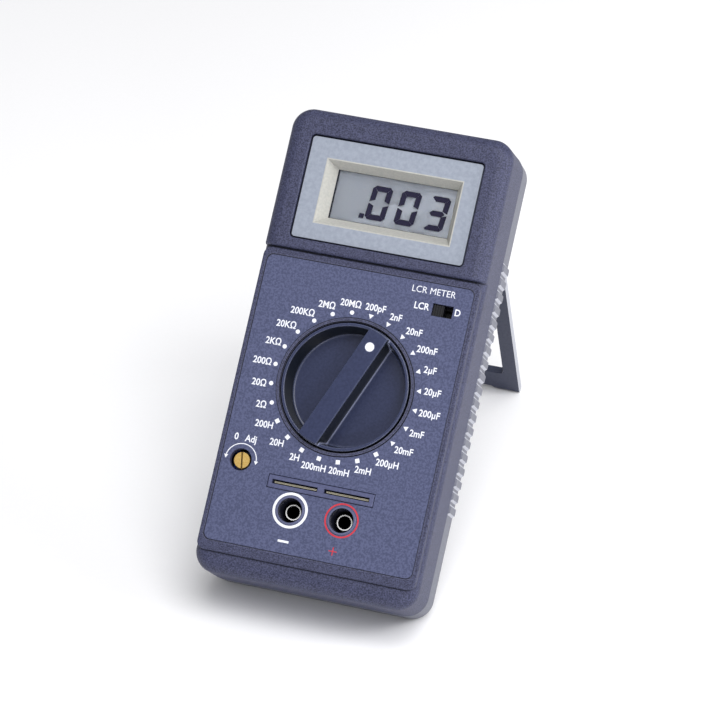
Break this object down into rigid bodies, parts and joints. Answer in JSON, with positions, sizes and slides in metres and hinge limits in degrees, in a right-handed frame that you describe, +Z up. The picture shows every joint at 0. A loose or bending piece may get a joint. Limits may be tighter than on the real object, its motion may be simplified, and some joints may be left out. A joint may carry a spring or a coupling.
{
  "type": "lcr meter",
  "caption": "Hand-held LCR meter on an open tilt stand, with a rotary range knob, slide switch, zero-adjust screw, component fixture and a pair of plug jacks.",
  "frame": {"origin": "centre of the overall box at the table, with the meter standing on its open stand", "axes": "+X to the right across the face, +Y away from the reader towards the stand, +Z up; the face leans back 44.50 degrees from upright"},
  "size_m": [0.084, 0.1698, 0.1434],
  "materials": {
    "front_plastic": "moulded, fine grain",
    "rear_plastic": "moulded, satin",
    "overlay_film": "printed film, matt",
    "window_plate": "printed, satin",
    "bezel_plastic": "moulded, satin",
    "clear_acrylic": "polished",
    "lcd": "polarising film",
    "black_plastic": "moulded",
    "fixture_plastic": "moulded",
    "soft_rubber": "moulded",
    "knob_plastic": "moulded, satin",
    "white_plastic": "moulded",
    "contact_metal": "nickel plated",
    "steel": "zinc plated",
    "blue_plastic": "moulded",
    "brass": "turned",
    "board_laminate": "solder resist",
    "chip_epoxy": "moulded epoxy",
    "can_aluminium": "drawn",
    "film_epoxy": "dipped",
    "fuse_glass": "drawn tube",
    "stand_plastic": "moulded, satin",
    "battery_jacket": "printed steel jacket",
    "lead_sleeve": "extruded"
  },
  "bodies": {
    "case": {"front_shell": "front_plastic", "rear_shell": "rear_plastic", "panel_overlay": "overlay_film", "window_plate": "window_plate", "lcd_bezel": "bezel_plastic", "lcd_window": "clear_acrylic", "lcd_glass": "lcd", "lcd_holder": "black_plastic", "lcd_zebra_strips": "soft_rubber", "detent_balls": "steel", "detent_springs": "steel", "slide_switch_body": "black_plastic", "trimmer_housing": "blue_plastic", "fixture_block": "fixture_plastic", "fixture_contacts": "contact_metal", "jack_shroud_minus": "black_plastic", "jack_shroud_plus": "black_plastic", "jack_tube_minus": "contact_metal", "jack_tube_plus": "contact_metal", "main_board": "board_laminate", "board_chips": "chip_epoxy", "electrolytic_cans": "can_aluminium", "film_capacitors": "film_epoxy", "fuse": "fuse_glass", "fuse_clips": "contact_metal", "battery": "battery_jacket", "battery_snap": "black_plastic", "battery_leads": "lead_sleeve", "case_screws": "steel", "board_screws": "steel"},
    "knob": {"range_knob": "knob_plastic", "knob_marker": "white_plastic", "switch_rotor": "white_plastic", "rotor_wipers": "contact_metal"},
    "switch_lever": {"slide_switch_lever": "black_plastic"},
    "trimmer": {"trimmer_screw": "brass"},
    "stand": {"tilt_stand": "stand_plastic"},
    "door": {"battery_door": "rear_plastic", "door_screw": "steel"}
  },
  "joints": [
    {"name": "range_knob_turn", "type": "hinge", "parent": "case", "child": "knob", "pos_m": [0, -0.03637, 0.07501], "axis": [0, -0.7133, 0.7009], "continuous": true},
    {"name": "slide_switch", "type": "slide", "parent": "case", "child": "switch_lever", "axis": [1, 0, 0], "range_m": [0, 0.0033]},
    {"name": "zero_adjust_turn", "type": "hinge", "parent": "case", "child": "trimmer", "pos_m": [-0.0313, -0.05901, 0.05198], "axis": [0, -0.7133, 0.7009], "range_deg": [-135, 135]},
    {"name": "stand_fold", "type": "hinge", "parent": "case", "child": "stand", "pos_m": [0, 0.04029, 0.10553], "axis": [-1, 0, 0], "range_deg": [0, 67]},
    {"name": "battery_door_off", "type": "slide", "parent": "case", "child": "door", "axis": [0, 0.7133, -0.7009], "range_m": [0, 0.012]}
  ]
}
